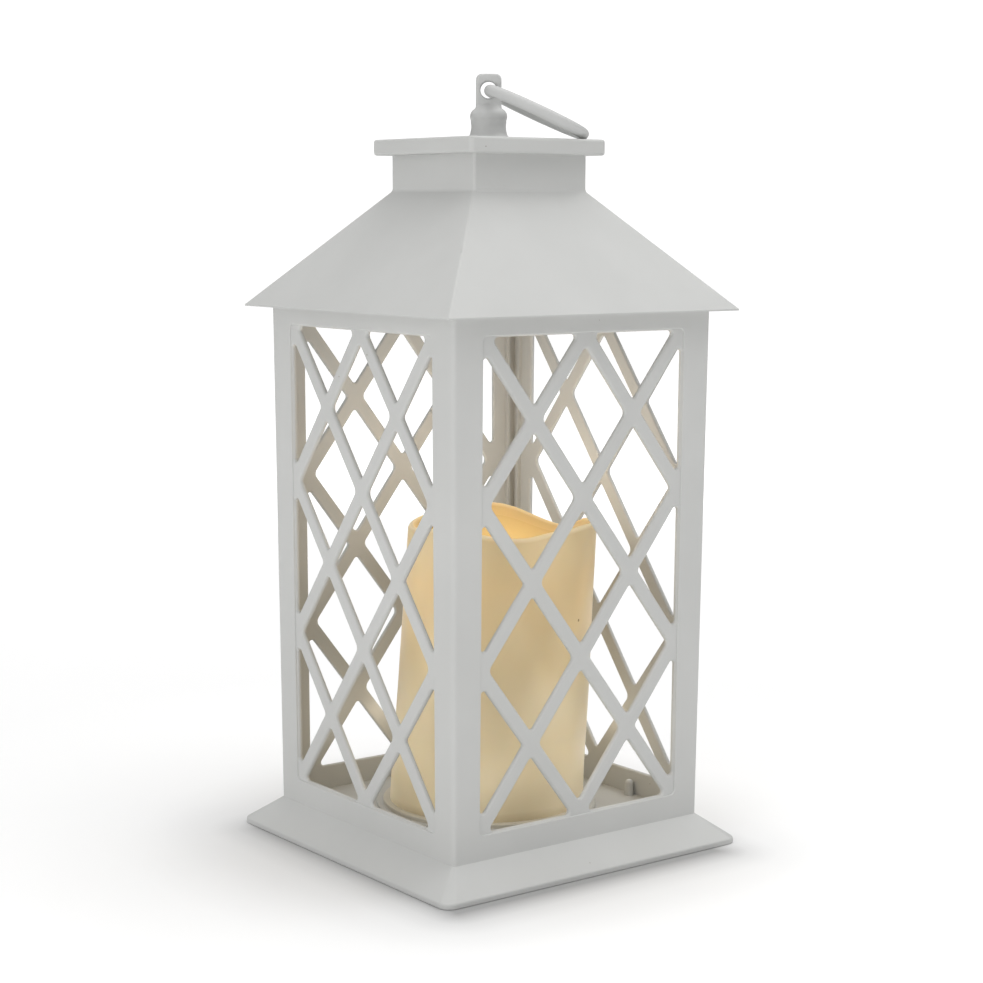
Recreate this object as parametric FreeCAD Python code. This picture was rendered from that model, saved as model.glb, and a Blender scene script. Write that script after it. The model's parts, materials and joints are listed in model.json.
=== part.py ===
import FreeCAD, Part
import math
import os

V = FreeCAD.Vector

# A square garden lantern with lattice sides, a hipped roof with a swinging ring, and a battery candle inside.
# Millimetres. The origin is the centre of the footprint on the ground, +Z is up, and the front faces -Y.

# Whole lantern
FOOT_HALF = 59.5                # half width across the lattice sides where they stand on the base
HEAD_HALF = 61.0                # and where they meet the roof, since each side leans out a little
BODY_CORNER = 1.5               # rounding of the four upright corners
BODY_BOTTOM = 11.35             # where the sides stand on the base
EAVE_Z = 210.42                 # where the sides meet the roof
LEAN = math.degrees(math.atan2(HEAD_HALF - FOOT_HALF, EAVE_Z - BODY_BOTTOM))

# Base tray
RIM_HALF = 71.5
RIM_CORNER = 5.0
RIM_LIP = 2.1                   # upright edge of the skirt
FLOOR_Z = 11.8
FLOOR_UNDERSIDE = 9.4
SEAT_R = 44.0                   # raised disc that the candle stands on
SEAT_Z = 13.4
CANDLE_HOLE_R = 35.0
PEG_FOOT_R = 2.0
PEG_TIP_R = 1.6
PEG_TOP = 18.3
PEG_INSET = 54.5                # pegs stand this far from the middle, towards a side
PEG_OFFSET = 24.6               # and this far along it

# Lattice sides
WALL = 2.6                      # thickness of a side
WINDOW_HALF = 47.1
WINDOW_BOTTOM = 21.5
WINDOW_TOP = 203.3
LATTICE_ROWS = 6                # half diamonds from bottom to top
LATTICE_COLUMNS = 4             # half diamonds from left to right
BAR_WIDTH = 5.8
BAR_DEPTH = 2.1
BAR_RECESS = 0.5                # how far the bars lie behind the outer face
BAR_FRONT_ROUND = 1.1
BAR_BACK_ROUND = 0.8
LEDGE = 0.5                     # step round the window at the level of the bars
WINDOW_ROUND = 0.5              # rounding of the window's outer edge
TIP_ROUND = 1.4                 # rounding of the sharp corners of an opening
SIDE_ROUND = 2.6                # rounding of its blunt corners
RIB_OUTER = 54.5                # upright rib beside each inner corner
RIB_WIDTH = 1.4
RIB_HEIGHT = 1.8

# Roof
EAVE_HALF = 68.8
EAVE_CORNER = 0.6
EAVE_LIP = 0.6                  # height of the upright edge of the eave
NECK_HALF = 26.9
NECK_CORNER = 1.2
NECK_Z = 255.3
CAP_Z = 268.8
CAP_TOP = 274.85
CAP_HALF = 32.3
CAP_CORNER = 2.1
ROOF_SHELL = 3.1                # wall of the roof, measured level
SOFFIT = 1.8                    # thickness of the roof's flat underside
ROOF_RIM = 4.0                  # depth of the rim that drops inside the sides

# Finial and ring, both turned to face the near corner
TURN = math.radians(-37.1)
SIDEWAYS = V(math.cos(TURN), math.sin(TURN), 0)
FORWARD = V(math.sin(TURN), -math.cos(TURN), 0)
FINIAL_FOOT = CAP_TOP + 0.05
FINIAL_TOP = 299.65
EYE_Z = 293.55
EYE_R = 3.2
TAB_WIDTH = 9.8
TAB_DEPTH = 4.6
SPIGOT_R = 2.92
CAP_HOLE_R = 3.0
RING_R = 19.7                   # to the middle of the rod
ROD_R = 2.2
RING_SLACK = 0.5                # the rod hangs this far off the middle of the eye

# Candle
FLANGE_R = 41.5
FLANGE_TOP = 15.0
CANDLE_R = 38.8
CANDLE_TAPER = 0.015
CANDLE_LEAN = math.tan(math.radians(3.1))
CANDLE_WALL = 3.0
CAVITY_TOP = 108.5
POOL_Z = 112.0
RIM_SHAPE = (                   # angle from sideways, and height of the wavy rim there
    (0, 126.8), (16, 126.6), (46, 121.7), (99, 129.0), (146, 126.8),
    (190, 125.5), (235, 127.4), (281, 125.0), (305, 126.8), (330, 127.6))

# Candle base, with a bay for three AAA cells
BARREL_R = 34.6
BARREL_WALL = 1.5
PLATE_BOTTOM = 1.0
PLATE_TOP = 2.6
BAY_HALF_X = 16.8
BAY_HALF_Y = 25.4
BAY_WALL = 1.4
CELL_R = 5.25
CELL_LENGTH = 43.7
NUB_LENGTH = 0.8
CELL_PITCH = 11.2
CELL_Z = 8.0
CONTACT_Y = 25.0                # inner face of the contact plates
CONTACT_T = 0.4
HINGE_Y = -28.2
HINGE_Z = 3.2
HINGE_R = 1.2
HINGE_HALF = 10.0
PEG_PIN_R = 0.8

# Switch
SWITCH_X = 24.0
SWITCH_ON_Y = 1.5               # the knob stands here when the candle is lit
SWITCH_SCREW_Y = 8.3

# Electronics inside the candle
BOARD_Z = 19.0
BOARD_T = 1.6
BOARD_R = 22.0
BOARD_POST_X = 17.0
STEM_R = 4.2
STEM_BORE = 2.9
STEM_TOP = 97.0
LEAD_LENGTH = 9.0
LEAD_X = 1.27                   # half the pitch of the lamp's leads
WIRE_R = 0.55
GAP = 0.05


# ---------------------------------------------------------------- helpers

def block(x0, x1, y0, y1, z0, z1):
    return Part.makeBox(x1 - x0, y1 - y0, z1 - z0, V(x0, y0, z0))


def post(radius, z0, z1, x=0.0, y=0.0):
    return Part.makeCylinder(radius, z1 - z0, V(x, y, z0))


def tube(outer, inner, z0, z1, x=0.0, y=0.0):
    return post(outer, z0, z1, x, y).cut(post(inner, z0 - 1, z1 + 1, x, y))


def fuse_all(shapes):
    joined = shapes[0]
    for shape in shapes[1:]:
        joined = joined.fuse(shape)
    return joined.removeSplitter()


def turned(shape, degrees):
    copy = shape.copy()
    copy.rotate(V(0, 0, 0), V(0, 0, 1), degrees)
    return copy


def rounded_outline(points, radii):
    """Closed wire through the points, each corner rounded by an arc of its own radius."""
    count = len(points)
    edges = []
    previous_end = None
    first_start = None
    for i in range(count):
        corner = points[i]
        back = (points[i - 1] - corner).normalize()
        ahead = (points[(i + 1) % count] - corner).normalize()
        half = back.getAngle(ahead) / 2
        reach = radii[i] / math.tan(half)
        start = corner + back * reach
        end = corner + ahead * reach
        middle = (back + ahead).normalize()
        centre = corner + middle * (radii[i] / math.sin(half))
        if previous_end is not None:
            edges.append(Part.makeLine(previous_end, start))
        else:
            first_start = start
        edges.append(Part.Arc(start, centre - middle * radii[i], end).toShape())
        previous_end = end
    edges.append(Part.makeLine(previous_end, first_start))
    return Part.Wire(edges)


def square_wire(half, corner, z):
    points = [V(-half, -half, z), V(half, -half, z), V(half, half, z), V(-half, half, z)]
    return rounded_outline(points, [corner] * 4)


def square_prism(half, corner, z0, z1):
    return Part.Face(square_wire(half, corner, z0)).extrude(V(0, 0, z1 - z0))


def square_taper(half0, corner0, z0, half1, corner1, z1):
    return Part.makeLoft([square_wire(half0, corner0, z0), square_wire(half1, corner1, z1)], True, True)


def edges_at(shape, z):
    """Edges of the shape that lie level at height z."""
    found = []
    for edge in shape.Edges:
        box = edge.BoundBox
        if abs(box.ZMin - z) < 1e-4 and abs(box.ZMax - z) < 1e-4:
            found.append(edge)
    return found


def routed_wire(points, bend):
    """Insulated wire along straight runs joined by tangent arcs."""
    edges = []
    last = points[0]
    for i in range(1, len(points) - 1):
        corner = points[i]
        back = (points[i - 1] - corner).normalize()
        ahead = (points[i + 1] - corner).normalize()
        half = back.getAngle(ahead) / 2
        reach = bend / math.tan(half)
        middle = (back + ahead).normalize()
        centre = corner + middle * (bend / math.sin(half))
        start = corner + back * reach
        end = corner + ahead * reach
        edges.append(Part.makeLine(last, start))
        edges.append(Part.Arc(start, centre - middle * bend, end).toShape())
        last = end
    edges.append(Part.makeLine(last, points[-1]))
    path = Part.Wire(edges)
    section = Part.Wire([Part.makeCircle(WIRE_R, points[0], points[1] - points[0])])
    return path.makePipeShell([section], True, False)


# ---------------------------------------------------------------- base

def base_tray():
    skirt = square_prism(RIM_HALF, RIM_CORNER, 0, RIM_LIP)
    slope = square_taper(RIM_HALF, RIM_CORNER, RIM_LIP, FOOT_HALF, BODY_CORNER, BODY_BOTTOM)
    outside = skirt.fuse(slope).removeSplitter()
    outside = outside.makeFillet(1.0, edges_at(outside, RIM_LIP))
    outside = outside.makeFillet(0.5, edges_at(outside, 0))
    low_half = RIM_HALF - 2.4
    high_half = FOOT_HALF - 1.3
    hollow = square_prism(low_half, RIM_CORNER - 1.5, -1, 1.0)
    hollow = hollow.fuse(square_taper(low_half, RIM_CORNER - 1.5, 1.0, high_half, 1.0, FLOOR_UNDERSIDE))
    tray = outside.cut(hollow)
    parts = [tray, square_prism(FOOT_HALF - WALL - 0.1, 0.8, BODY_BOTTOM - 0.5, FLOOR_Z)]
    seat = post(SEAT_R, FLOOR_UNDERSIDE + 0.5, SEAT_Z)
    parts.append(seat.makeFillet(0.5, edges_at(seat, SEAT_Z)))
    for k in range(8):
        rib = turned(block(38.5, 72, -0.8, 0.8, 1.6, FLOOR_UNDERSIDE + 0.5), 22.5 + 45 * k)
        parts.append(rib.common(outside))
    for k in range(4):
        parts.append(turned(locating_peg(), 90 * k))
    tray = fuse_all(parts).cut(post(CANDLE_HOLE_R, 5, 20))
    for k in range(3):
        tray = tray.cut(turned(block(30, BARREL_R + 2.8, -5, 5, 5, 20), 120 * k + 60))
    return tray


def locating_peg():
    """Round-topped tapered peg on the floor, just inside the bottom rail of a side."""
    foot = V(-PEG_OFFSET, -PEG_INSET, FLOOR_Z - 1)
    peg = Part.makeCone(PEG_FOOT_R, PEG_TIP_R, PEG_TOP - foot.z, foot)
    return peg.makeFillet(PEG_TIP_R - 0.1, edges_at(peg, PEG_TOP))


# ---------------------------------------------------------------- lattice sides

def lattice_openings():
    """Outlines of the openings, at y = 0, as lists of points with a rounding for each."""
    wide = 2 * WINDOW_HALF / LATTICE_COLUMNS
    tall = (WINDOW_TOP - WINDOW_BOTTOM) / LATTICE_ROWS
    to_bar = wide * tall / math.hypot(wide, tall)
    shrink = 1 - (BAR_WIDTH / 2) / to_bar
    a = wide * shrink
    b = tall * shrink
    openings = []
    for row in range(LATTICE_ROWS + 1):
        z = WINDOW_BOTTOM + row * tall
        for column in range(LATTICE_COLUMNS + 1):
            x = -WINDOW_HALF + column * wide
            if (row + column) % 2 == 0:
                continue
            corners = []
            if row < LATTICE_ROWS:
                corners.append((V(x, 0, z + b), TIP_ROUND))
            if column < LATTICE_COLUMNS:
                corners.append((V(x + a, 0, z), SIDE_ROUND))
            if row > 0:
                corners.append((V(x, 0, z - b), TIP_ROUND))
            if column > 0:
                corners.append((V(x - a, 0, z), SIDE_ROUND))
            openings.append(corners)
    return openings


def leaned(shape):
    """The shape tilted to lie along a side, about the side's foot."""
    copy = shape.copy()
    copy.rotate(V(0, -FOOT_HALF, BODY_BOTTOM), V(1, 0, 0), LEAN)
    return copy


def lattice():
    """The crossing bars in one plate, rounded on both faces."""
    front = -FOOT_HALF + BAR_RECESS
    back = front + BAR_DEPTH
    reach = WINDOW_HALF + LEDGE + 1.2
    plate = block(-reach, reach, front, back, WINDOW_BOTTOM - 2, WINDOW_TOP + 2)
    for corners in lattice_openings():
        radii = [min(radius, 1.4) if len(corners) == 3 else radius for point, radius in corners]
        outline = rounded_outline([point for point, radius in corners], radii)
        hole = Part.Face(outline).extrude(V(0, 20, 0))
        hole.translate(V(0, front - 5, 0))
        plate = plate.cut(hole)
    for y, radius in ((front, BAR_FRONT_ROUND), (back, BAR_BACK_ROUND)):
        soft = []
        for edge in plate.Edges:
            box = edge.BoundBox
            inside = box.XMin > -reach + 0.5 and box.XMax < reach - 0.5
            inside = inside and box.ZMin > WINDOW_BOTTOM - 1.5 and box.ZMax < WINDOW_TOP + 1.5
            if inside and abs(box.YMin - y) < 1e-4 and abs(box.YMax - y) < 1e-4:
                soft.append(edge)
        plate = plate.makeFillet(radius, soft)
    return leaned(plate)


def side_plan(half, z):
    """Mitred outline of a side at height z, where its outer face lies half from the middle."""
    inner = half - WALL
    turn_centre = half - BODY_CORNER
    on_mitre = turn_centre + BODY_CORNER * math.sqrt(0.5)
    on_arc = BODY_CORNER * math.sin(math.radians(22.5))
    arc_out = BODY_CORNER * math.cos(math.radians(22.5))
    left = V(-on_mitre, -on_mitre, z)
    right = V(on_mitre, -on_mitre, z)
    left_face = V(-turn_centre, -half, z)
    right_face = V(turn_centre, -half, z)
    return Part.Wire([
        Part.Arc(left, V(-turn_centre - on_arc, -turn_centre - arc_out, z), left_face).toShape(),
        Part.makeLine(left_face, right_face),
        Part.Arc(right_face, V(turn_centre + on_arc, -turn_centre - arc_out, z), right).toShape(),
        Part.makeLine(right, V(inner, -inner, z)),
        Part.makeLine(V(inner, -inner, z), V(-inner, -inner, z)),
        Part.makeLine(V(-inner, -inner, z), left),
    ])


def side_frame():
    """The mitred frame of a side, with its window and the ribs by its inner corners."""
    frame = Part.makeLoft([side_plan(FOOT_HALF, BODY_BOTTOM), side_plan(HEAD_HALF, EAVE_Z)], True, True)
    half = WINDOW_HALF + LEDGE
    low = WINDOW_BOTTOM - LEDGE
    high = WINDOW_TOP + LEDGE
    points = [V(-half, 0, low), V(half, 0, low), V(half, 0, high), V(-half, 0, high)]
    window = Part.Face(rounded_outline(points, [2.0] * 4)).extrude(V(0, 30, 0))
    window.translate(V(0, -FOOT_HALF - 10, 0))
    frame = frame.cut(window)
    lean_out = math.tan(math.radians(LEAN))
    rim = []
    for edge in frame.Edges:
        middle = edge.valueAt((edge.FirstParameter + edge.LastParameter) / 2)
        on_face = abs(middle.y + FOOT_HALF + lean_out * (middle.z - BODY_BOTTOM)) < 1e-3
        if on_face and abs(middle.x) < half + 0.1 and low - 0.1 < middle.z < high + 0.1:
            rim.append(edge)
    frame = frame.makeFillet(WINDOW_ROUND, rim)
    inner = FOOT_HALF - WALL
    for side in (-1, 1):
        x0, x1 = sorted((side * RIB_OUTER, side * (RIB_OUTER - RIB_WIDTH)))
        rib = block(x0, x1, -inner - 0.5, -inner + RIB_HEIGHT, FLOOR_Z + 0.2, EAVE_Z - ROOF_RIM - 0.3)
        frame = frame.fuse(leaned(rib))
    return frame


def lattice_side():
    return side_frame().fuse(lattice()).removeSplitter()


# ---------------------------------------------------------------- roof

def roof():
    lip_top = EAVE_Z + EAVE_LIP
    outside = square_prism(EAVE_HALF, EAVE_CORNER, EAVE_Z, lip_top)
    outside = outside.fuse(square_taper(EAVE_HALF, EAVE_CORNER, lip_top, NECK_HALF, NECK_CORNER, NECK_Z))
    outside = outside.fuse(square_prism(NECK_HALF, NECK_CORNER, NECK_Z, CAP_Z)).removeSplitter()
    outside = outside.makeFillet(2.0, edges_at(outside, NECK_Z))
    outside = outside.makeFillet(0.25, edges_at(outside, lip_top))
    soffit_top = EAVE_Z + SOFFIT
    closing_in = (EAVE_HALF - NECK_HALF) / (NECK_Z - lip_top)
    low_half = EAVE_HALF - (soffit_top - lip_top) * closing_in - ROOF_SHELL
    inside = square_taper(low_half, 1, soffit_top, NECK_HALF - 2.1, 1, NECK_Z - 1.0)
    inside = inside.fuse(square_prism(NECK_HALF - 2.1, 1, NECK_Z - 1.0, CAP_Z - 2.0))
    shell = outside.cut(inside)
    rim_half = HEAD_HALF - WALL - 0.2
    rim = square_prism(rim_half, 0.8, EAVE_Z - ROOF_RIM, EAVE_Z + 0.5)
    shell = shell.fuse(rim).cut(square_prism(rim_half - 2.6, 0.8, EAVE_Z - ROOF_RIM - 1, soffit_top + 1))
    return shell.cut(post(CAP_HOLE_R + 0.3, CAP_Z - 10, CAP_Z + 5)).removeSplitter()


def cap_plate():
    plate = square_prism(CAP_HALF, CAP_CORNER, CAP_Z, CAP_TOP)
    plate = plate.makeFillet(1.1, edges_at(plate, CAP_TOP) + edges_at(plate, CAP_Z))
    return plate.cut(post(CAP_HOLE_R, CAP_Z - 5, CAP_TOP + 5))


def finial():
    """Turned foot, cove and bulb, running up into a flat tab with an eye for the ring."""
    z = FINIAL_FOOT
    groove_z = 281.9
    profile = [
        Part.makeLine(V(0, 0, z), V(9.3, 0, z)),
        Part.Arc(V(9.3, 0, z), V(7.6, 0, z + 1.2), V(6.9, 0, z + 3.2)).toShape(),
        Part.Arc(V(6.9, 0, z + 3.2), V(6.65, 0, z + 5.0), V(6.9, 0, groove_z - 0.4)).toShape(),
        Part.makeLine(V(6.9, 0, groove_z - 0.4), V(6.5, 0, groove_z)),
        Part.makeLine(V(6.5, 0, groove_z), V(6.95, 0, groove_z + 0.5)),
        Part.Arc(V(6.95, 0, groove_z + 0.5), V(7.1, 0, groove_z + 2.4), V(5.3, 0, groove_z + 4.6)).toShape(),
        Part.Arc(V(5.3, 0, groove_z + 4.6), V(3.1, 0, groove_z + 6.1), V(0, 0, groove_z + 6.7)).toShape(),
        Part.makeLine(V(0, 0, groove_z + 6.7), V(0, 0, z)),
    ]
    body = Part.Face(Part.Wire(profile)).revolve(V(0, 0, 0), V(0, 0, 1), 360)
    half = TAB_WIDTH / 2
    low = groove_z + 1.5
    points = [V(-half, 0, low), V(half, 0, low), V(half, 0, FINIAL_TOP), V(-half, 0, FINIAL_TOP)]
    tab = Part.Face(rounded_outline(points, [0.5, 0.5, 2.2, 2.2])).extrude(V(0, TAB_DEPTH, 0))
    tab.translate(V(0, -TAB_DEPTH / 2, 0))
    eye = Part.makeCylinder(EYE_R, 20, V(0, -10, EYE_Z), V(0, 1, 0))
    tab = tab.cut(eye)
    rounds = []
    for edge in tab.Edges:
        box = edge.BoundBox
        if box.YMax - box.YMin < 1e-4 and box.ZMin > low + 0.1:
            rounds.append(edge)
    tab = tab.makeFillet(0.5, rounds)
    spigot = post(SPIGOT_R, CAP_Z - 2.3, z + 1)
    whole = fuse_all([body, tab, spigot]).cut(post(1.45, CAP_Z - 5, z + 3))
    return turned(whole, math.degrees(TURN))


def ring_place():
    """Centre and normal of the ring, which lies back with its far end on the cap."""
    reach = 2 * RING_R + RING_SLACK
    drop = EYE_Z - (CAP_TOP + ROD_R + GAP)
    dip = math.asin(drop / reach)
    along = SIDEWAYS * math.cos(dip) + V(0, 0, -math.sin(dip))
    centre = V(0, 0, EYE_Z) + along * (RING_R + RING_SLACK)
    return centre, FORWARD.cross(along)


def ring_handle():
    centre, normal = ring_place()
    return Part.makeTorus(RING_R, ROD_R, centre, normal)


def finial_washer():
    return tube(6.0, 1.6, CAP_Z - 3.1, CAP_Z - 2.3)


def finial_screw():
    head = post(2.7, CAP_Z - 4.9, CAP_Z - 3.1).cut(block(-3, 3, -0.35, 0.35, CAP_Z - 6, CAP_Z - 4.2))
    return head.fuse(post(1.4, CAP_Z - 3.5, FINIAL_FOOT + 2.5)).removeSplitter()


# ---------------------------------------------------------------- candle

def rim_height(angle):
    """Height of the candle's wavy rim at an angle from sideways, eased between the points of RIM_SHAPE."""
    angle = angle % 360
    points = RIM_SHAPE + ((RIM_SHAPE[0][0] + 360, RIM_SHAPE[0][1]),)
    for (a0, z0), (a1, z1) in zip(points, points[1:]):
        if a0 <= angle <= a1:
            share = (1 - math.cos(math.pi * (angle - a0) / (a1 - a0))) / 2
            return z0 + (z1 - z0) * share
    return points[0][1]


def candle_centre(z):
    return SIDEWAYS * ((z - FLANGE_TOP) * CANDLE_LEAN) + V(0, 0, z)


def candle_slice(inset, z):
    radius = CANDLE_R - inset - (z - FLANGE_TOP) * CANDLE_TAPER
    return Part.Wire([Part.makeCircle(radius, candle_centre(z), V(0, 0, 1))])


def melt_surface():
    """The dished top of the candle, as one smooth sheet that reaches past the rim."""
    middle = candle_centre(125)
    steps = 16
    reach = 48.0
    rows = []
    for i in range(steps + 1):
        row = []
        for j in range(steps + 1):
            x = reach * (2 * i / steps - 1)
            y = reach * (2 * j / steps - 1)
            offset = V(x, y, 0)
            angle = math.degrees(math.atan2(offset.dot(FORWARD * -1), offset.dot(SIDEWAYS)))
            share = min(math.hypot(x, y) / 36.0, 1.0)
            height = POOL_Z + (rim_height(angle) - POOL_Z) * share ** 3
            row.append(V(middle.x + x, middle.y + y, height))
        rows.append(row)
    sheet = Part.BSplineSurface()
    sheet.interpolate(rows)
    return sheet.toShape()


def candle_shell():
    outside = Part.makeLoft([candle_slice(0, FLANGE_TOP), candle_slice(0, 140)], True, True)
    cavity_ends = [candle_slice(CANDLE_WALL, z) for z in (FLANGE_TOP, CAVITY_TOP)]
    inside = Part.makeLoft(cavity_ends, True, True)
    above = melt_surface().extrude(V(0, 0, 60))
    return outside.cut(above).cut(inside)


def candle_base():
    """Flange and barrel under the candle, with the battery bay, the hinge cheeks and the switch slot."""
    flange = post(FLANGE_R, SEAT_Z, FLANGE_TOP)
    parts = [flange.makeFillet(0.5, edges_at(flange, FLANGE_TOP))]
    parts.append(tube(35.3, 33.5, FLANGE_TOP - 0.2, 18.5))
    parts.append(tube(BARREL_R, BARREL_R - BARREL_WALL, PLATE_BOTTOM, SEAT_Z + 0.2))
    parts.append(post(BARREL_R, PLATE_BOTTOM, PLATE_TOP))
    outer_x = BAY_HALF_X + BAY_WALL
    outer_y = BAY_HALF_Y + BAY_WALL
    walls = block(-outer_x, outer_x, -outer_y, outer_y, PLATE_TOP + 0.2, SEAT_Z + 0.2)
    walls = walls.fuse(block(-outer_x, outer_x, -24, 24, PLATE_TOP - 0.5, PLATE_TOP + 0.4))
    parts.append(walls.cut(block(-BAY_HALF_X, BAY_HALF_X, -BAY_HALF_Y, BAY_HALF_Y, 0, SEAT_Z + 0.1)))
    for side in (-1, 1):
        x0, x1 = sorted((side * (HINGE_HALF + 0.3), side * (HINGE_HALF + 3.0)))
        parts.append(block(x0, x1, HINGE_Y - 1.9, -BAY_HALF_Y - 0.7, PLATE_TOP - 0.5, HINGE_Z + 2.2))
        parts.append(post(3.0, FLANGE_TOP - 0.2, BOARD_Z, side * BOARD_POST_X, 0))
    for k in range(3):
        lug = block(BARREL_R - 1, BARREL_R + 2.2, -4.5, 4.5, FLOOR_UNDERSIDE - 1.8, FLOOR_UNDERSIDE - 0.2)
        parts.append(turned(lug, 120 * k))
    cup = fuse_all(parts)
    through = PLATE_TOP + 0.1
    cup = cup.cut(block(-BAY_HALF_X, BAY_HALF_X, -outer_y, BAY_HALF_Y + 0.2, 0, through))
    swing = HINGE_Y - (HINGE_Z - PLATE_BOTTOM) - 0.3
    cup = cup.cut(block(-HINGE_HALF - 0.3, HINGE_HALF + 0.3, swing, -outer_y, 0, through))
    cup = cup.cut(Part.makeCylinder(PEG_PIN_R + 0.06, 24, V(-12, HINGE_Y, HINGE_Z), V(1, 0, 0)))
    cup = cup.cut(post(4.0, 0, PLATE_TOP, 0, BAY_HALF_Y + 1.0))
    cup = cup.cut(block(SWITCH_X - 1.8, SWITCH_X + 1.8, -3.9, 3.9, 0, through))
    cup = cup.cut(block(SWITCH_X - 1.2, SWITCH_X + 1.2, -4, 4, SEAT_Z - 1, FLANGE_TOP + 1))
    for side in (-1, 1):
        cup = cup.cut(post(0.95, PLATE_BOTTOM + 0.4, PLATE_TOP + 1, SWITCH_X, side * SWITCH_SCREW_Y))
        cup = cup.cut(post(0.95, FLANGE_TOP + 0.4, BOARD_Z + 1, side * BOARD_POST_X, 0))
        slot_y = CONTACT_Y + CONTACT_T / 2
        slot = block(-CELL_PITCH - 1.6, -CELL_PITCH + 1.6, slot_y - 0.4, slot_y + 0.4, 12, 16)
        cup = cup.cut(turned(slot, 90 + 90 * side))
    return cup


def battery_door():
    plate = block(-BAY_HALF_X + 0.3, BAY_HALF_X - 0.3, HINGE_Y + 2.7, BAY_HALF_Y, PLATE_BOTTOM, PLATE_TOP)
    neck = block(-HINGE_HALF, HINGE_HALF, HINGE_Y, HINGE_Y + 3, PLATE_BOTTOM, PLATE_TOP)
    knuckle = Part.makeCylinder(HINGE_R, 2 * HINGE_HALF, V(-HINGE_HALF, HINGE_Y, HINGE_Z), V(1, 0, 0))
    pin_half = HINGE_HALF + 1.7
    pin = Part.makeCylinder(PEG_PIN_R, 2 * pin_half, V(-pin_half, HINGE_Y, HINGE_Z), V(1, 0, 0))
    door = fuse_all([plate, neck, knuckle, pin])
    for k in range(5):
        y = BAY_HALF_Y - 3.0 - 1.6 * k
        door = door.cut(block(-6, 6, y - 0.4, y + 0.4, PLATE_BOTTOM - 1, PLATE_BOTTOM + 0.4))
    return door


def battery_cell(x, nub_side):
    """An AAA cell lying along Y, its nub towards nub_side."""
    nub_tip = nub_side * (CONTACT_Y - GAP)
    shoulder = nub_tip - nub_side * NUB_LENGTH
    away = V(0, -nub_side, 0)
    can = Part.makeCylinder(CELL_R, CELL_LENGTH, V(x, shoulder, CELL_Z), away)
    can = can.makeChamfer(0.45, [e for e in can.Edges if len(e.Vertexes) == 1])
    nub = Part.makeCylinder(1.9, NUB_LENGTH + 0.5, V(x, nub_tip, CELL_Z), away)
    return can.fuse(nub).removeSplitter()


def contact_plate(x0, x1, end):
    y0, y1 = sorted((end * CONTACT_Y, end * (CONTACT_Y + CONTACT_T)))
    return block(x0, x1, y0, y1, CELL_Z - 4.6, CELL_Z + 4.6)


def contact_tab(x, end):
    """Solder tab that comes up through the flange."""
    y0, y1 = sorted((end * CONTACT_Y, end * (CONTACT_Y + CONTACT_T)))
    return block(x - 1.2, x + 1.2, y0, y1, CELL_Z + 4, FLANGE_TOP + 2)


def coil_spring(x, end):
    """Conical spring between a contact plate and the flat end of a cell."""
    wire_r = 0.3
    length = 2 * CONTACT_Y - GAP - CELL_LENGTH - NUB_LENGTH - 2 * (wire_r + GAP)
    coil = Part.makeHelix(length / 3.5, length, 2.1, 12)
    start = coil.Edges[0].valueAt(coil.Edges[0].FirstParameter)
    heading = coil.Edges[0].tangentAt(coil.Edges[0].FirstParameter)
    section = Part.Wire([Part.makeCircle(wire_r, start, heading)])
    spring = Part.Wire(coil.Edges).makePipeShell([section], True, True)
    spring.rotate(V(0, 0, 0), V(1, 0, 0), -90 * end)
    spring.translate(V(x, end * (CONTACT_Y - wire_r - GAP - length), CELL_Z))
    return spring


# ---------------------------------------------------------------- switch and electronics

def switch_body():
    x = SWITCH_X
    body = block(x - 3.5, x + 3.5, -6.3, 6.3, PLATE_TOP, PLATE_TOP + 5)
    body = body.cut(block(x - 2.3, x + 2.3, -5.1, 5.1, PLATE_TOP + 0.8, PLATE_TOP + 3.8))
    body = body.cut(block(x - 1.6, x + 1.6, -3.6, 3.6, 0, PLATE_TOP + 1))
    ears = block(x - 3.5, x + 3.5, -10.2, 10.2, PLATE_TOP, PLATE_TOP + 1).cut(
        block(x - 4, x + 4, -6.2, 6.2, 0, 10))
    body = fuse_all([body, ears])
    for side in (-1, 1):
        body = body.cut(post(1.0, 0, 10, x, side * SWITCH_SCREW_Y))
    return body


def switch_slider():
    x = SWITCH_X
    y = SWITCH_ON_Y
    wiper = block(x - 2.1, x + 2.1, y - 2.6, y + 2.6, PLATE_TOP + 0.9, PLATE_TOP + 2.4)
    knob = block(x - 1.4, x + 1.4, y - 1.8, y + 1.8, 0.5, PLATE_TOP + 1)
    for k in range(3):
        groove_y = y - 1.0 + k
        knob = knob.cut(block(x - 2, x + 2, groove_y - 0.2, groove_y + 0.2, 0, 0.8))
    return wiper.fuse(knob).removeSplitter()


def switch_terminals():
    top = PLATE_TOP + 5
    pins = [block(SWITCH_X - 0.4, SWITCH_X + 0.4, y - 0.2, y + 0.2, top, top + 2) for y in (-2.5, 0, 2.5)]
    return Part.makeCompound(pins)


def small_screw(x, y, seat, tip):
    head = post(1.8, seat, seat + 1.3, x, y)
    head = head.cut(block(x - 2, x + 2, y - 0.25, y + 0.25, seat + 0.7, seat + 2))
    return head.fuse(post(0.9, tip, seat + 0.3, x, y)).removeSplitter()


def switch_screws():
    seat = PLATE_TOP + 1
    tip = PLATE_BOTTOM + 0.6
    return Part.makeCompound([small_screw(SWITCH_X, side * SWITCH_SCREW_Y, seat, tip) for side in (-1, 1)])


def circuit_board():
    board = post(BOARD_R, BOARD_Z, BOARD_Z + BOARD_T).cut(post(6.2, 0, 50))
    for side in (-1, 1):
        board = board.cut(post(1.0, 0, 50, side * BOARD_POST_X, 0))
    return board


def board_screws():
    seat = BOARD_Z + BOARD_T
    tip = FLANGE_TOP + 0.6
    return Part.makeCompound([small_screw(side * BOARD_POST_X, 0, seat, tip) for side in (-1, 1)])


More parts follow.
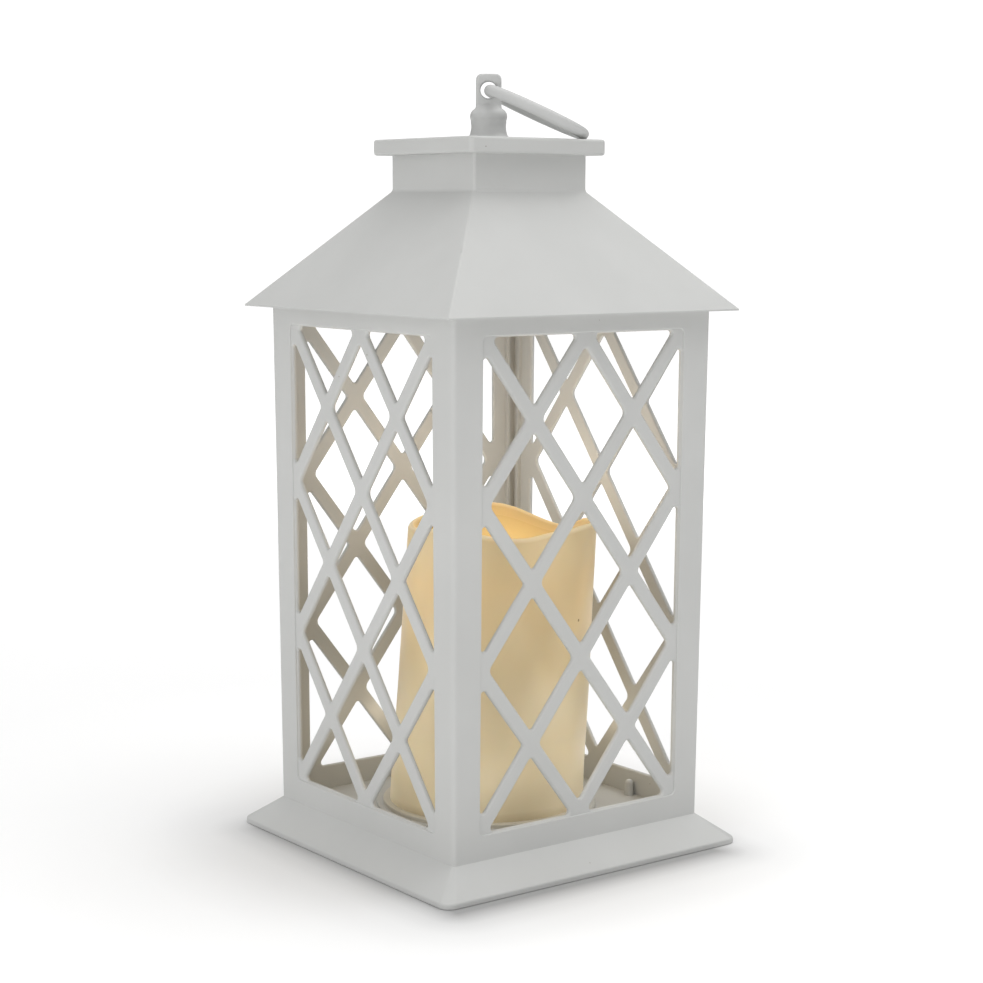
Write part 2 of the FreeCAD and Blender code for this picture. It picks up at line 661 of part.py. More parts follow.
def timer_chip():
    seat = BOARD_Z + BOARD_T
    pieces = [block(-2.5, 2.5, 11, 15, seat + 0.2, seat + 1.7)]
    for x in (-1.9, -0.63, 0.63, 1.9):
        pieces.append(block(x - 0.2, x + 0.2, 10, 16, seat, seat + 0.6))
    return fuse_all(pieces)


def resistor():
    seat = BOARD_Z + BOARD_T
    lead_z = seat + 1.5
    pieces = [Part.makeCylinder(1.15, 6, V(-3, -13, lead_z), V(1, 0, 0))]
    pieces.append(Part.makeCylinder(0.3, 9, V(-4.5, -13, lead_z), V(1, 0, 0)))
    for x in (-4.5, 4.5):
        pieces.append(post(0.3, seat, lead_z, x, -13))
        pieces.append(Part.makeSphere(0.3, V(x, -13, lead_z)))
    return fuse_all(pieces)


def led_stem():
    stem = fuse_all([post(STEM_R, FLANGE_TOP, STEM_TOP), post(5.6, FLANGE_TOP, FLANGE_TOP + 2)])
    stem = stem.cut(post(STEM_BORE, FLANGE_TOP + 1, STEM_TOP + 1))
    return stem.cut(block(-2.6, 2.6, -6, 0, BOARD_Z + BOARD_T + 0.4, BOARD_Z + 9))


def led_lamp():
    collar = post(3.4, STEM_TOP, STEM_TOP + 1)
    lens = post(2.5, STEM_TOP + 0.5, STEM_TOP + 4.5)
    return fuse_all([collar, lens, Part.makeSphere(2.5, V(0, 0, STEM_TOP + 4.5))])


def led_leads():
    foot = STEM_TOP - LEAD_LENGTH
    return Part.makeCompound([post(0.25, foot, STEM_TOP, side * LEAD_X, 0) for side in (-1, 1)])


def led_wire(x):
    landing = BOARD_Z + BOARD_T
    turn_z = landing + 4
    start = V(x, 0, STEM_TOP - LEAD_LENGTH - 0.1)
    route = [start, V(x, 0, turn_z), V(x, -8.5, turn_z - 0.5), V(x, -8.5, landing)]
    return routed_wire(route, 1.6)


def battery_wire(end):
    """From the solder tab at one end of the bay to the edge of the board."""
    landing = BOARD_Z + BOARD_T
    x = -end * CELL_PITCH
    y = end * (CONTACT_Y - WIRE_R - 0.02)
    over = landing + 3
    board_x = x * 0.8
    board_y = end * 17
    route = [V(x, y, FLANGE_TOP + 0.6), V(x, y, over), V(board_x, board_y, over), V(board_x, board_y, landing)]
    return routed_wire(route, 1.4)


def switch_wires():
    landing = BOARD_Z + BOARD_T
    over = landing + 3
    wires = []
    for side in (-1, 1):
        foot = V(SWITCH_X, side * 2.5, PLATE_TOP + 7)
        route = [foot, V(SWITCH_X, side * 2.5, over), V(16, side * 6, over), V(16, side * 6, landing)]
        wires.append(routed_wire(route, 1.4))
    return Part.makeCompound(wires)


# ---------------------------------------------------------------- the whole lantern

def lantern():
    side = lattice_side()
    return {
        "base_tray": base_tray(),
        "front_panel": side,
        "right_panel": turned(side, 90),
        "back_panel": turned(side, 180),
        "left_panel": turned(side, 270),
        "roof": roof(),
        "cap_plate": cap_plate(),
        "finial": finial(),
        "finial_washer": finial_washer(),
        "finial_screw": finial_screw(),
        "ring_handle": ring_handle(),
        "candle_shell": candle_shell(),
        "candle_base": candle_base(),
        "battery_door": battery_door(),
        "battery_cell_left": battery_cell(-CELL_PITCH, 1),
        "battery_cell_middle": battery_cell(0, -1),
        "battery_cell_right": battery_cell(CELL_PITCH, 1),
        "positive_contact": fuse_all([contact_plate(-15.2, -7.2, 1), contact_tab(-CELL_PITCH, 1)]),
        "negative_contact": fuse_all([contact_plate(7.2, 15.2, -1), contact_tab(CELL_PITCH, -1)]),
        "rear_link_contact": contact_plate(-4, 15.2, 1),
        "front_link_contact": contact_plate(-15.2, 4, -1),
        "contact_springs": Part.makeCompound([
            coil_spring(-CELL_PITCH, -1), coil_spring(0, 1), coil_spring(CELL_PITCH, -1)]),
        "switch_body": switch_body(),
        "switch_slider": switch_slider(),
        "switch_terminals": switch_terminals(),
        "switch_screws": switch_screws(),
        "circuit_board": circuit_board(),
        "board_screws": board_screws(),
        "timer_chip": timer_chip(),
        "resistor": resistor(),
        "led_stem": led_stem(),
        "led_lamp": led_lamp(),
        "led_leads": led_leads(),
        "led_wire_red": led_wire(-LEAD_X),
        "led_wire_black": led_wire(LEAD_X),
        "battery_wire_red": battery_wire(1),
        "battery_wire_black": battery_wire(-1),
        "switch_wires": switch_wires(),
    }


os.makedirs("parts", exist_ok=True)
for node, shape in lantern().items():
    shape.exportStep("parts/" + node + ".step")
    state = "valid" if shape.isValid() else "NOT VALID"
    print(node, len(shape.Solids), "solids", round(shape.Volume, 2), "mm3", state)
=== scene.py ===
import json
import math

import bpy
from mathutils import Matrix, Vector, noise


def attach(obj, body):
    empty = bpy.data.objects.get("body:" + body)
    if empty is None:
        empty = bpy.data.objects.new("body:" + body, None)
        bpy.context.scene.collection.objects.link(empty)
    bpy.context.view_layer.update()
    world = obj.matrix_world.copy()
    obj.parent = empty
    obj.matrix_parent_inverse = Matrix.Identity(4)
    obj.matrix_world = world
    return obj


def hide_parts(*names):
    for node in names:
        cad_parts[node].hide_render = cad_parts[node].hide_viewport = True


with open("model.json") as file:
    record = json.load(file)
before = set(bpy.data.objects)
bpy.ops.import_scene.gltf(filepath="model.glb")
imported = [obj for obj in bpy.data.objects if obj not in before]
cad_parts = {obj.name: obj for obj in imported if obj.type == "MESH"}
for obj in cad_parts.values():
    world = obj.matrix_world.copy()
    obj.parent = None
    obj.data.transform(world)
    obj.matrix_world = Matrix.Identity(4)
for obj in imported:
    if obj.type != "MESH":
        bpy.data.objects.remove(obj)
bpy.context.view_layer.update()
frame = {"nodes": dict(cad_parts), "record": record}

# A white plastic lattice lantern with a wax-skinned battery candle inside. Lengths are metres.

MM = 0.001
TURN = math.radians(-37.1)      # the finial, the ring and the candle's lean all face this way
SIDEWAYS = Vector((math.cos(TURN), math.sin(TURN), 0))
AWAY = Vector((-math.sin(TURN), math.cos(TURN), 0))

# The candle
CANDLE_FOOT = 15.0 * MM
CANDLE_R = 38.8 * MM
CANDLE_TAPER = 0.015
CANDLE_LEAN = math.tan(math.radians(3.1))
POOL_Z = 112.0 * MM             # lowest point of the dish
LIP_R = 1.7 * MM                # rounding of the rim
LIP_TURN = math.radians(100)    # how far the rounding goes round, from the wall over the rim
LIP_DEPTH = 0.10                # share of the way into the dish where the rounding ends
DISH_CURVE = 2.7                # a higher power gives a flatter pool and a steeper inner slope
RIM_POINTS = (                  # angle from sideways, and height of the melted rim there in mm
    (0, 126.8), (16, 126.6), (46, 121.7), (99, 129.4), (146, 126.8),
    (190, 125.5), (235, 127.4), (281, 125.0), (305, 126.8), (330, 127.8))
SWELLS = (38.0, 0.35 * MM)      # how tight and how high the slow unevenness of the wax is
RIPPLES = (130.0, 0.10 * MM)    # the same for the fine unevenness
EVEN_FOOT = 12.0 * MM           # the unevenness grows from nothing over this height
AROUND = 144                    # steps round the candle
WALL_STEPS = 30
LIP_STEPS = 8
DISH_STEPS = 22

# The finial
SKIN_VOXEL = 0.35 * MM
MELT_ROUNDS = 10

# The floor: a shade that hugs the skirt, and a glow that carries the paper to plain white far off
FLOOR_HALF = 6.0
SHADE_SHIFT = (0.006, 0.009, 0)     # the shaded square lies this far towards the camera's side of the middle
SHADE_HALF = (0.063, 0.066, 0)
# Both lists hold (distance, brightness): the shade's from its square, the glow's from the middle
SHADE = ((0.0, 0.42), (0.006, 0.66), (0.012, 0.82), (0.022, 0.93), (0.045, 0.98), (0.07, 1.0))
GLOW = ((0.10, 0.0), (0.14, 0.06), (0.3, 0.03), (0.8, 0.12), (2.5, 0.40))

# The lights
SKY_TOP = 1.11                  # the sky is this bright overhead and black at the horizon
BACKDROP = 1.1
SOFTBOXES = (                   # name, place, aim, size and watts
    ("overhead", (0.5, -0.24, 1.55), (0, 0, 0.1), (1.5, 1.5), 11.3),
    ("left_fill", (-1.6, -0.5, 0.5), (0, 0, 0.15), (1.2, 1.0), 6.5),
    ("low_left", (-0.42, 0.0, 0.05), (-0.07, 0.0, 0.02), (0.35, 0.06), 0.11),
    ("low_right", (0.0, -0.42, 0.05), (0.0, -0.07, 0.02), (0.35, 0.06), 0.11))
WARM = (1.0, 0.84, 0.63)
DISH_GLOW_OUT = 0.006           # the lamp over the dish, sideways from the middle
DISH_GLOW_Z = 0.150
DISH_GLOW_WATTS = 0.062
TRAY_GLOWS = 12                 # small lamps in a ring round the candle's foot
TRAY_GLOW_R = 0.052
TRAY_GLOW_Z = 0.042
TRAY_GLOW_WATTS = 0.0017

# The camera
CAMERA_AZIMUTH = math.radians(-37.091)
CAMERA_ELEVATION = math.radians(8.544)
CAMERA_ROLL = math.radians(0.208)
CAMERA_DISTANCE = 0.8339
AIM_HEIGHT = 0.12277
AIM_ASIDE = 0.00168


# ---------------------------------------------------------------- material helpers

def new_material(name):
    material = bpy.data.materials.new(name)
    material.use_nodes = True
    tree = material.node_tree
    return material, tree, tree.nodes["Principled BSDF"]


def add(tree, kind, **values):
    """A node with its sockets or settings given by name."""
    node = tree.nodes.new(kind)
    for key, value in values.items():
        if key in node.inputs:
            node.inputs[key].default_value = value
        else:
            setattr(node, key, value)
    return node


def coords(tree):
    return tree.nodes.new("ShaderNodeTexCoord").outputs["Object"]


def noise_value(tree, scale, detail=4.0, stretch=None):
    """Soft noise over the surface, drawn out along an axis where stretch says so."""
    cloud = add(tree, "ShaderNodeTexNoise", Scale=scale, Detail=detail, Roughness=0.55)
    place = coords(tree)
    if stretch:
        mapping = add(tree, "ShaderNodeMapping", Scale=stretch)
        tree.links.new(place, mapping.inputs["Vector"])
        place = mapping.outputs["Vector"]
    tree.links.new(place, cloud.inputs["Vector"])
    return cloud.outputs["Fac"]


def grey(value):
    return (value, value, value)


def ramp(tree, value, *stops):
    """Colour ramp with (position, colour) stops."""
    node = tree.nodes.new("ShaderNodeValToRGB")
    elements = node.color_ramp.elements
    while len(elements) < len(stops):
        elements.new(0.5)
    for element, (position, colour) in zip(elements, stops):
        element.position = position
        element.color = (*colour, 1)
    tree.links.new(value, node.inputs["Fac"])
    return node.outputs["Color"]


def grey_ramp(tree, value, *stops):
    """Ramp with (position, brightness) stops."""
    return ramp(tree, value, *[(position, grey(brightness)) for position, brightness in stops])


def mixed(tree, factor, first, second, kind="MIX"):
    node = add(tree, "ShaderNodeMix", data_type="RGBA", blend_type=kind)
    for value, socket in ((factor, node.inputs[0]), (first, node.inputs[6]), (second, node.inputs[7])):
        if isinstance(value, bpy.types.NodeSocket):
            tree.links.new(value, socket)
        else:
            socket.default_value = value
    return node.outputs[2]


def bump(tree, shader, value, strength, distance):
    node = add(tree, "ShaderNodeBump", Strength=strength, Distance=distance)
    tree.links.new(value, node.inputs["Height"])
    tree.links.new(node.outputs["Normal"], shader.inputs["Normal"])


def specks(tree, scale, size):
    """White in a few scattered tiny spots, else black."""
    cells = add(tree, "ShaderNodeTexVoronoi", Scale=scale)
    tree.links.new(coords(tree), cells.inputs["Vector"])
    near = grey_ramp(tree, cells.outputs["Distance"], (size * 0.6, 1.0), (size, 0.0))
    rare = grey_ramp(tree, noise_value(tree, scale * 0.31, 2.0), (0.60, 0.0), (0.64, 1.0))
    return mixed(tree, 1.0, near, rare, "MULTIPLY")


# ---------------------------------------------------------------- materials

def moulded_plastic(name, low, high, roughness, speckled=True):
    """Satin moulded plastic: faint mottling, a very fine grain and a few specks of dust."""
    material, tree, shader = new_material(name)
    colour = ramp(tree, noise_value(tree, 14.0), (0.35, low), (0.65, high))
    if speckled:
        colour = mixed(tree, specks(tree, 160.0, 0.055), colour, (0.20, 0.17, 0.13, 1))
    tree.links.new(colour, shader.inputs["Base Color"])
    gloss = grey_ramp(tree, noise_value(tree, 60.0), (0.3, roughness - 0.05), (0.7, roughness + 0.06))
    tree.links.new(gloss, shader.inputs["Roughness"])
    shader.inputs["Specular IOR Level"].default_value = 0.32
    bump(tree, shader, noise_value(tree, 700.0, 3.0), 0.10, 0.0003)
    return material


def candle_wax():
    """Ivory wax, glowing from the lamp below its dish, with soft patches and a few dark specks."""
    material, tree, shader = new_material("candle_wax_look")
    patches = noise_value(tree, 24.0, 2.0, (1.0, 1.0, 0.55))
    base = ramp(tree, patches, (0.35, (0.60, 0.515, 0.335)), (0.52, (0.63, 0.55, 0.37)),
                (0.70, (0.66, 0.595, 0.435)))
    base = mixed(tree, specks(tree, 110.0, 0.07), base, (0.12, 0.09, 0.05, 1))
    dish = tree.nodes.new("ShaderNodeAttribute")
    dish.attribute_name = "dish"
    # The dish's orange base colour is painted glow: it shows the thin wax there lit by the lamp below
    painted_glow_in_dish = grey_ramp(tree, dish.outputs["Fac"], (0.08, 0.0), (0.17, 1.0))
    base = mixed(tree, painted_glow_in_dish, base, (0.42, 0.315, 0.165, 1))
    tree.links.new(base, shader.inputs["Base Color"])
    height = add(tree, "ShaderNodeSeparateXYZ")
    tree.links.new(coords(tree), height.inputs["Vector"])
    rise = add(tree, "ShaderNodeMapRange", **{"From Min": 0.03, "From Max": 0.125})
    tree.links.new(height.outputs["Z"], rise.inputs["Value"])
    # Painted glow: this emission stands in for the lamp's light through the wax, varying with height and in
    # soft patches
    wall_glow = ramp(tree, rise.outputs["Result"],
                     (0.0, (0.170, 0.140, 0.095)), (0.15, (0.085, 0.065, 0.040)),
                     (0.31, (0.120, 0.085, 0.045)), (0.47, (0.165, 0.100, 0.030)),
                     (0.80, (0.205, 0.098, 0.002)), (1.0, (0.150, 0.085, 0.014)))
    patchy = grey_ramp(tree, patches, (0.40, 0.72), (0.62, 1.18))
    wall_glow = mixed(tree, 1.0, wall_glow, patchy, "MULTIPLY")
    # More painted glow: a pale painted band on the rolled lip, then orange over the dish
    dish_glow = ramp(tree, dish.outputs["Fac"],
                     (0.0, grey(0.0)), (0.05, (0.16, 0.16, 0.14)), (0.11, (0.03, 0.02, 0.01)),
                     (0.30, (0.06, 0.030, 0.004)), (0.62, (0.13, 0.095, 0.030)), (1.0, (0.165, 0.130, 0.050)))
    glow = mixed(tree, 1.0, wall_glow, dish_glow, "ADD")
    tree.links.new(glow, shader.inputs["Emission Color"])
    shader.inputs["Emission Strength"].default_value = 1.0
    shader.inputs["Subsurface Weight"].default_value = 0.35
    shader.inputs["Subsurface Radius"].default_value = (1.0, 0.55, 0.25)
    shader.inputs["Subsurface Scale"].default_value = 0.004
    polish = grey_ramp(tree, dish.outputs["Fac"], (0.15, 0.42), (0.5, 0.14))
    tree.links.new(polish, shader.inputs["Roughness"])
    shader.inputs["Specular IOR Level"].default_value = 0.45
    bump(tree, shader, noise_value(tree, 90.0, 3.0), 0.12, 0.0006)
    return material


def ivory_plastic():
    """Cream moulded plastic of the candle's base, battery door and lamp stem."""
    material, tree, shader = new_material("ivory_plastic_look")
    colour = ramp(tree, noise_value(tree, 30.0), (0.35, (0.58, 0.55, 0.47)), (0.65, (0.63, 0.60, 0.52)))
    tree.links.new(colour, shader.inputs["Base Color"])
    shader.inputs["Roughness"].default_value = 0.38
    bump(tree, shader, noise_value(tree, 800.0, 3.0), 0.10, 0.0003)
    return material


def black_plastic():
    """Textured black plastic of the switch and the chip."""
    material, tree, shader = new_material("black_plastic_look")
    colour = grey_ramp(tree, noise_value(tree, 220.0), (0.3, 0.018), (0.7, 0.036))
    tree.links.new(colour, shader.inputs["Base Color"])
    shader.inputs["Roughness"].default_value = 0.42
    bump(tree, shader, noise_value(tree, 1500.0, 2.0), 0.2, 0.0002)
    return material


def cell_jacket():
    """Printed film round an AAA cell: a dark band and a lighter end, split along the cell."""
    material, tree, shader = new_material("cell_jacket_look")
    split = add(tree, "ShaderNodeSeparateXYZ")
    tree.links.new(coords(tree), split.inputs["Vector"])
    place = add(tree, "ShaderNodeMapRange", **{"From Min": -0.0222, "From Max": 0.0222})
    tree.links.new(split.outputs["Y"], place.inputs["Value"])
    bands = ramp(tree, place.outputs["Result"], (0.0, (0.045, 0.055, 0.075)), (0.66, (0.045, 0.055, 0.075)),
                 (0.68, (0.36, 0.30, 0.17)), (1.0, (0.40, 0.34, 0.20)))
    worn = grey_ramp(tree, noise_value(tree, 400.0), (0.35, 0.86), (0.65, 1.0))
    tree.links.new(mixed(tree, 1.0, bands, worn, "MULTIPLY"), shader.inputs["Base Color"])
    shader.inputs["Metallic"].default_value = 0.5
    shader.inputs["Roughness"].default_value = 0.30
    return material


def metal(name, low, high, roughness, grain=(1.0, 1.0, 1.0)):
    """Plated or turned metal with fine scratches."""
    material, tree, shader = new_material(name)
    scratches = noise_value(tree, 900.0, 4.0, grain)
    tree.links.new(ramp(tree, scratches, (0.3, low), (0.7, high)), shader.inputs["Base Color"])
    gloss = grey_ramp(tree, scratches, (0.3, roughness - 0.08), (0.7, roughness + 0.1))
    tree.links.new(gloss, shader.inputs["Roughness"])
    shader.inputs["Metallic"].default_value = 1.0
    bump(tree, shader, scratches, 0.08, 0.0001)
    return material


def circuit_green():
    """Green lacquer over copper tracks."""
    material, tree, shader = new_material("circuit_green_look")
    tracks = add(tree, "ShaderNodeTexWave", Scale=260.0, Distortion=2.0, Detail=1.0)
    tree.links.new(coords(tree), tracks.inputs["Vector"])
    lines = ramp(tree, tracks.outputs["Fac"], (0.55, (0.012, 0.085, 0.030)), (0.62, (0.030, 0.155, 0.055)))
    tree.links.new(lines, shader.inputs["Base Color"])
    shader.inputs["Roughness"].default_value = 0.24
    return material


def resistor_coat():
    """Tan lacquer with colour rings."""
    material, tree, shader = new_material("resistor_coat_look")
    split = add(tree, "ShaderNodeSeparateXYZ")
    tree.links.new(coords(tree), split.inputs["Vector"])
    place = add(tree, "ShaderNodeMapRange", **{"From Min": -0.003, "From Max": 0.003})
    tree.links.new(split.outputs["X"], place.inputs["Value"])
    tan = (0.42, 0.30, 0.16)
    stops = [(0.0, tan)]
    brown, black, red, gold = (0.25, 0.10, 0.02), grey(0.02), (0.45, 0.02, 0.02), (0.50, 0.36, 0.08)
    for start, ring in ((0.16, brown), (0.34, black), (0.52, red), (0.78, gold)):
        stops += [(start, ring), (start + 0.09, tan)]
    bands = ramp(tree, place.outputs["Result"], *stops)
    bands.node.color_ramp.interpolation = "CONSTANT"
    uneven = grey_ramp(tree, noise_value(tree, 1200.0), (0.3, 0.9), (0.7, 1.0))
    tree.links.new(mixed(tree, 1.0, bands, uneven, "MULTIPLY"), shader.inputs["Base Color"])
    shader.inputs["Roughness"].default_value = 0.25
    return material


def led_lens():
    """Hazy amber lens, lit from within."""
    material, tree, shader = new_material("led_lens_look")
    haze = noise_value(tree, 500.0, 2.0)
    tint = ramp(tree, haze, (0.3, (0.80, 0.62, 0.34)), (0.7, (0.88, 0.72, 0.44)))
    tree.links.new(tint, shader.inputs["Base Color"])
    shine = ramp(tree, haze, (0.3, (0.9, 0.50, 0.16)), (0.7, (1.0, 0.60, 0.22)))
    tree.links.new(shine, shader.inputs["Emission Color"])
    shader.inputs["Emission Strength"].default_value = 4.0
    shader.inputs["Roughness"].default_value = 0.12
    return material


def insulation(name, low, high):
    """Smooth vinyl sleeve of a wire."""
    material, tree, shader = new_material(name)
    tree.links.new(ramp(tree, noise_value(tree, 350.0), (0.3, low), (0.7, high)), shader.inputs["Base Color"])
    shader.inputs["Roughness"].default_value = 0.34
    return material


def paint_frame():
    """Every CAD node gets the finish of its slot in the record."""
    finishes = {
        "white_plastic": moulded_plastic("white_plastic_look",
                                         (0.518, 0.522, 0.510), (0.548, 0.552, 0.540), 0.46),
        "white_trim": moulded_plastic("white_trim_look",
                                      (0.530, 0.534, 0.526), (0.556, 0.560, 0.552), 0.42, False),
        "candle_wax": candle_wax(),
        "ivory_plastic": ivory_plastic(),
        "black_plastic": black_plastic(),
        "cell_jacket": cell_jacket(),
        "nickel": metal("nickel_look", (0.50, 0.49, 0.46), (0.66, 0.65, 0.62), 0.26),
        "circuit_green": circuit_green(),
        "resistor_coat": resistor_coat(),
        "led_lens": led_lens(),
        "red_insulation": insulation("red_insulation_look", (0.36, 0.015, 0.012), (0.46, 0.025, 0.018)),
        "black_insulation": insulation("black_insulation_look", grey(0.014), grey(0.024)),
        "screw_steel": metal("screw_steel_look", grey(0.42), grey(0.56), 0.32, (1.0, 1.0, 0.1)),
    }
    for subpart in frame["record"]["subparts"]:
        node = frame["nodes"][subpart["node"]]
        for holder in node.material_slots:
            holder.material = finishes[subpart["material_slot"]]
    return finishes


# ---------------------------------------------------------------- candle

def rim_height(angle):
    """Height of the melted rim at an angle in degrees, eased between RIM_POINTS."""
    angle = angle % 360
    points = RIM_POINTS + ((RIM_POINTS[0][0] + 360, RIM_POINTS[0][1]),)
    for (a0, z0), (a1, z1) in zip(points, points[1:]):
        if a0 <= angle <= a1:
            share = (1 - math.cos(math.pi * (angle - a0) / (a1 - a0))) / 2
            return (z0 + (z1 - z0) * share) * MM
    return points[0][1] * MM


def candle_profile(rim):
    """(inset from the wall, height, depth into the dish) from the foot, over the lip and down to the pool."""
    rows = []
    wall_top = rim - LIP_R
    for i in range(WALL_STEPS + 1):
        share = i / WALL_STEPS
        rows.append((0.0, CANDLE_FOOT + (wall_top - CANDLE_FOOT) * share, 0.0))
    for i in range(1, LIP_STEPS + 1):
        angle = LIP_TURN * i / LIP_STEPS
        inset = LIP_R * (1 - math.cos(angle))
        rows.append((inset, wall_top + LIP_R * math.sin(angle), LIP_DEPTH * i / LIP_STEPS))
    lip_inset, lip_z, lip_depth = rows[-1]
    inner_r = CANDLE_R - lip_inset
    for i in range(1, DISH_STEPS + 1):
        radius = inner_r * (1 - i / DISH_STEPS)
        slope = (radius / inner_r) ** DISH_CURVE
        depth = lip_depth + (1 - lip_depth) * (1 - slope)
        rows.append((CANDLE_R - radius, POOL_Z + (lip_z - POOL_Z) * slope, depth))
    return rows


def waxy_point(outward, inset, z):
    """A point of the skin in a direction from the candle's leaning middle line, with its unevenness."""
    smooth_r = max(CANDLE_R - inset - (z - CANDLE_FOOT) * CANDLE_TAPER, 0.02 * MM)
    place = outward * smooth_r
    swell = noise.noise(Vector((place.x, place.y, z * 0.6)) * SWELLS[0]) * SWELLS[1]
    ripple = noise.noise(Vector((place.x + 7, place.y, z)) * RIPPLES[0]) * RIPPLES[1]
    fade = min(max((z - CANDLE_FOOT) / EVEN_FOOT, 0.0), 1.0)
    radius = max(smooth_r + fade * (swell + ripple), 0.02 * MM)
    return SIDEWAYS * ((z - CANDLE_FOOT) * CANDLE_LEAN) + outward * radius + Vector((0, 0, z))


def wax_candle(finish):
    """The candle's skin as one closed surface: leaning wall, rolled lip, wavy rim and dished, lit top."""
    vertices = []
    depths = []
    for j in range(AROUND):
        angle = 360 * j / AROUND
        turn = math.radians(angle)
        outward = SIDEWAYS * math.cos(turn) + AWAY * math.sin(turn)
        for inset, z, depth in candle_profile(rim_height(angle)):
            vertices.append(waxy_point(outward, inset, z))
            depths.append(depth)
    per_line = len(vertices) // AROUND
    foot = len(vertices)
    pool = foot + 1
    vertices.append(Vector((0, 0, CANDLE_FOOT)))
    depths.append(0.0)
    vertices.append(SIDEWAYS * ((POOL_Z - CANDLE_FOOT) * CANDLE_LEAN) + Vector((0, 0, POOL_Z)))
    depths.append(1.0)
    faces = []
    for j in range(AROUND):
        here = j * per_line
        there = ((j + 1) % AROUND) * per_line
        for i in range(per_line - 1):
            faces.append((here + i, there + i, there + i + 1, here + i + 1))
        faces.append((foot, there, here))
        faces.append((pool, here + per_line - 1, there + per_line - 1))
    mesh = bpy.data.meshes.new("wax_candle")
    mesh.from_pydata([tuple(v) for v in vertices], [], faces)
    mesh.polygons.foreach_set("use_smooth", [True] * len(mesh.polygons))
    dish = mesh.attributes.new("dish", "FLOAT", "POINT")
    dish.data.foreach_set("value", depths)
    mesh.materials.append(finish)
    candle = bpy.data.objects.new("wax_candle", mesh)
    bpy.context.collection.objects.link(candle)
    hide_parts("candle_shell")
    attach(candle, "lantern")


# ---------------------------------------------------------------- stage, light and camera

def vector_step(tree, operation, first, second=None):
    """One vector operation on a socket; second is a fixed vector."""
    node = add(tree, "ShaderNodeVectorMath", operation=operation)
    tree.links.new(first, node.inputs[0])
    if second:
        node.inputs[1].default_value = second
    return node.outputs["Value" if operation == "LENGTH" else "Vector"]


def ground():
    """A pale sheet with a soft shade round the skirt, glowing slightly so that it runs to plain white."""
    mesh = bpy.data.meshes.new("floor")
    corners = [(-FLOOR_HALF, -FLOOR_HALF, 0), (FLOOR_HALF, -FLOOR_HALF, 0),
               (FLOOR_HALF, FLOOR_HALF, 0), (-FLOOR_HALF, FLOOR_HALF, 0)]
    mesh.from_pydata(corners, [], [(0, 1, 2, 3)])
    floor = bpy.data.objects.new("floor", mesh)
    bpy.context.collection.objects.link(floor)
    material, tree, shader = new_material("floor_paper")
    paper = grey_ramp(tree, noise_value(tree, 1.5), (0.3, 0.90), (0.7, 0.93))
    folded = vector_step(tree, "ABSOLUTE", vector_step(tree, "ADD", coords(tree), SHADE_SHIFT))
    outside = vector_step(tree, "MAXIMUM", vector_step(tree, "SUBTRACT", folded, SHADE_HALF))
    shade = grey_ramp(tree, vector_step(tree, "LENGTH", outside), *SHADE)
    tree.links.new(mixed(tree, 1.0, paper, shade, "MULTIPLY"), shader.inputs["Base Color"])
    shader.inputs["Roughness"].default_value = 0.9
    shader.inputs["Specular IOR Level"].default_value = 0.1
    glow = grey_ramp(tree, vector_step(tree, "LENGTH", coords(tree)), *GLOW)
    tree.links.new(glow, shader.inputs["Emission Color"])
    shader.inputs["Emission Strength"].default_value = 1.0
    mesh.materials.append(material)


def softbox(name, place, aim, size, watts):
    data = bpy.data.lights.new(name, "AREA")
    data.shape = "RECTANGLE"
    data.size = size[0]
    data.size_y = size[1]
    data.energy = watts
    lamp = bpy.data.objects.new(name, data)
    lamp.location = place
    lamp.rotation_euler = (Vector(aim) - Vector(place)).to_track_quat("-Z", "Y").to_euler()
    lamp.visible_camera = False
    bpy.context.collection.objects.link(lamp)


def candle_light(name, place, watts, radius):
    """Warm glow that the candle's lamp throws on the inside of the lattice."""
    data = bpy.data.lights.new(name, "POINT")
    data.energy = watts
    data.color = WARM
    data.shadow_soft_size = radius
    lamp = bpy.data.objects.new(name, data)
    lamp.location = place
    lamp.visible_camera = False
    lamp.visible_glossy = False
    bpy.context.collection.objects.link(lamp)


def sky():
    """Soft light from above; the camera itself sees plain white behind the lantern."""
    world = bpy.data.worlds.new("studio")
    world.use_nodes = True
    tree = world.node_tree
    soft = tree.nodes["Background"]
    direction = add(tree, "ShaderNodeSeparateXYZ")
    tree.links.new(tree.nodes.new("ShaderNodeTexCoord").outputs["Generated"], direction.inputs["Vector"])
    brightness = grey_ramp(tree, direction.outputs["Z"], (0.0, 0.0), (1.0, SKY_TOP))
    tree.links.new(brightness, soft.inputs["Color"])
    soft.inputs["Strength"].default_value = 1.0
    behind = add(tree, "ShaderNodeBackground", Color=(1, 1, 1, 1), Strength=BACKDROP)
    path = tree.nodes.new("ShaderNodeLightPath")
    choose = tree.nodes.new("ShaderNodeMixShader")
    tree.links.new(path.outputs["Is Camera Ray"], choose.inputs[0])
    tree.links.new(soft.outputs[0], choose.inputs[1])
    tree.links.new(behind.outputs[0], choose.inputs[2])
    tree.links.new(choose.outputs[0], tree.nodes["World Output"].inputs["Surface"])
    bpy.context.scene.world = world


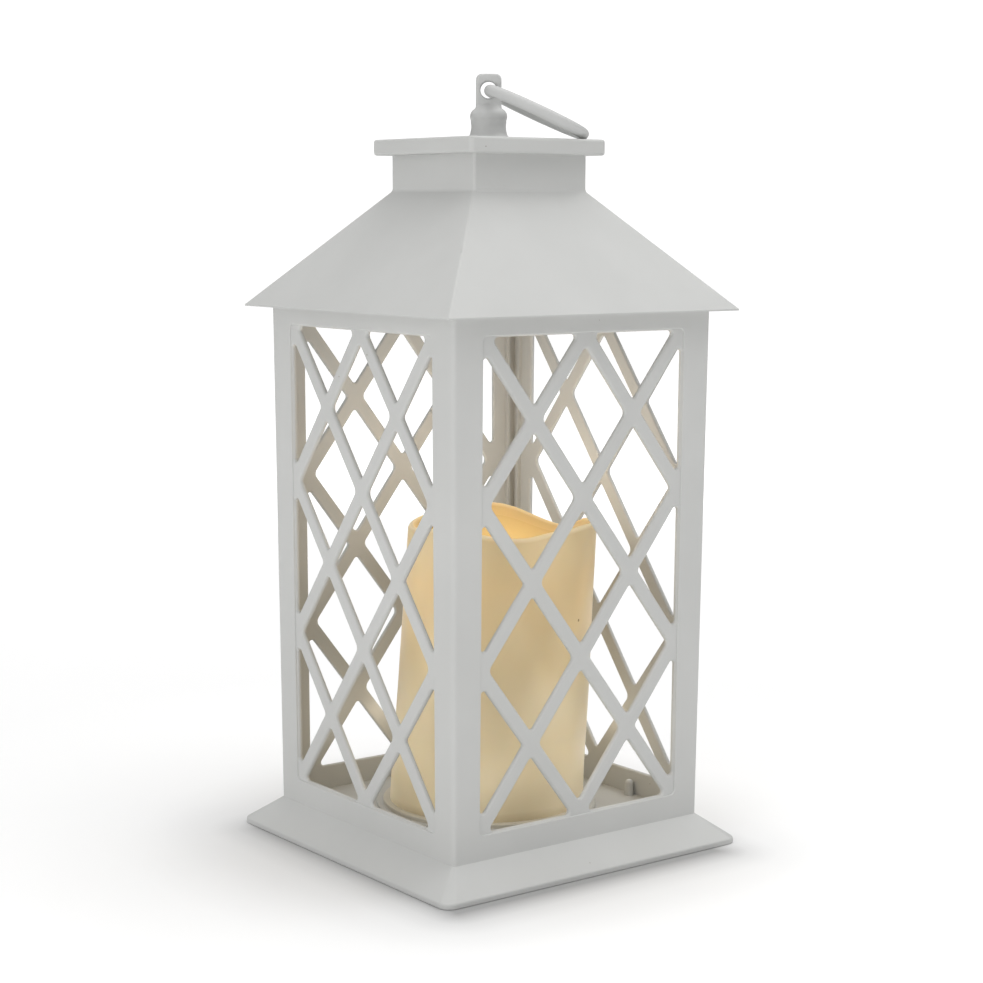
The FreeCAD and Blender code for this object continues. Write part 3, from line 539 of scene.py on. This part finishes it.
def lighting():
    sky()
    for name, place, aim, size, watts in SOFTBOXES:
        softbox(name, place, aim, size, watts)
    over_dish = SIDEWAYS * DISH_GLOW_OUT + Vector((0, 0, DISH_GLOW_Z))
    candle_light("candle_top", over_dish, DISH_GLOW_WATTS, 0.012)
    for j in range(TRAY_GLOWS):
        turn = 2 * math.pi * (j + 0.5) / TRAY_GLOWS
        place = Vector((math.cos(turn), math.sin(turn), 0)) * TRAY_GLOW_R + Vector((0, 0, TRAY_GLOW_Z))
        candle_light("tray_glow_%d" % j, place, TRAY_GLOW_WATTS, 0.006)


def camera():
    """A long lens a little above the lantern's middle, facing its near corner."""
    right = Vector((math.cos(CAMERA_AZIMUTH), math.sin(CAMERA_AZIMUTH), 0))
    level = Vector((math.sin(CAMERA_AZIMUTH), -math.cos(CAMERA_AZIMUTH), 0))
    back = level * math.cos(CAMERA_ELEVATION) + Vector((0, 0, math.sin(CAMERA_ELEVATION)))
    up = back.cross(right)
    turned_right = right * math.cos(CAMERA_ROLL) + up * math.sin(CAMERA_ROLL)
    turned_up = up * math.cos(CAMERA_ROLL) - right * math.sin(CAMERA_ROLL)
    data = bpy.data.cameras.new("camera")
    data.sensor_width = 36
    data.lens = 77.26
    data.shift_y = 0.04
    data.clip_start = 0.01
    data.clip_end = 30
    eye = bpy.data.objects.new("camera", data)
    turn = Matrix((turned_right, turned_up, back)).transposed()
    aim = Vector((0, 0, AIM_HEIGHT)) + right * AIM_ASIDE
    eye.matrix_world = Matrix.Translation(aim + back * CAMERA_DISTANCE) @ turn.to_4x4()
    bpy.context.collection.objects.link(eye)
    bpy.context.scene.camera = eye


def soften_finial():
    """Melts the tab of the finial into its bulb, as on a one-piece moulding."""
    finial = frame["nodes"]["finial"]
    skin = finial.modifiers.new("skin", "REMESH")
    skin.mode = "VOXEL"
    skin.voxel_size = SKIN_VOXEL
    skin.use_smooth_shade = True
    melt = finial.modifiers.new("melt", "SMOOTH")
    melt.factor = 0.5
    melt.iterations = MELT_ROUNDS


finishes = paint_frame()
soften_finial()
wax_candle(finishes["candle_wax"])
ground()
lighting()
camera()
bpy.context.scene.view_settings.view_transform = "Standard"
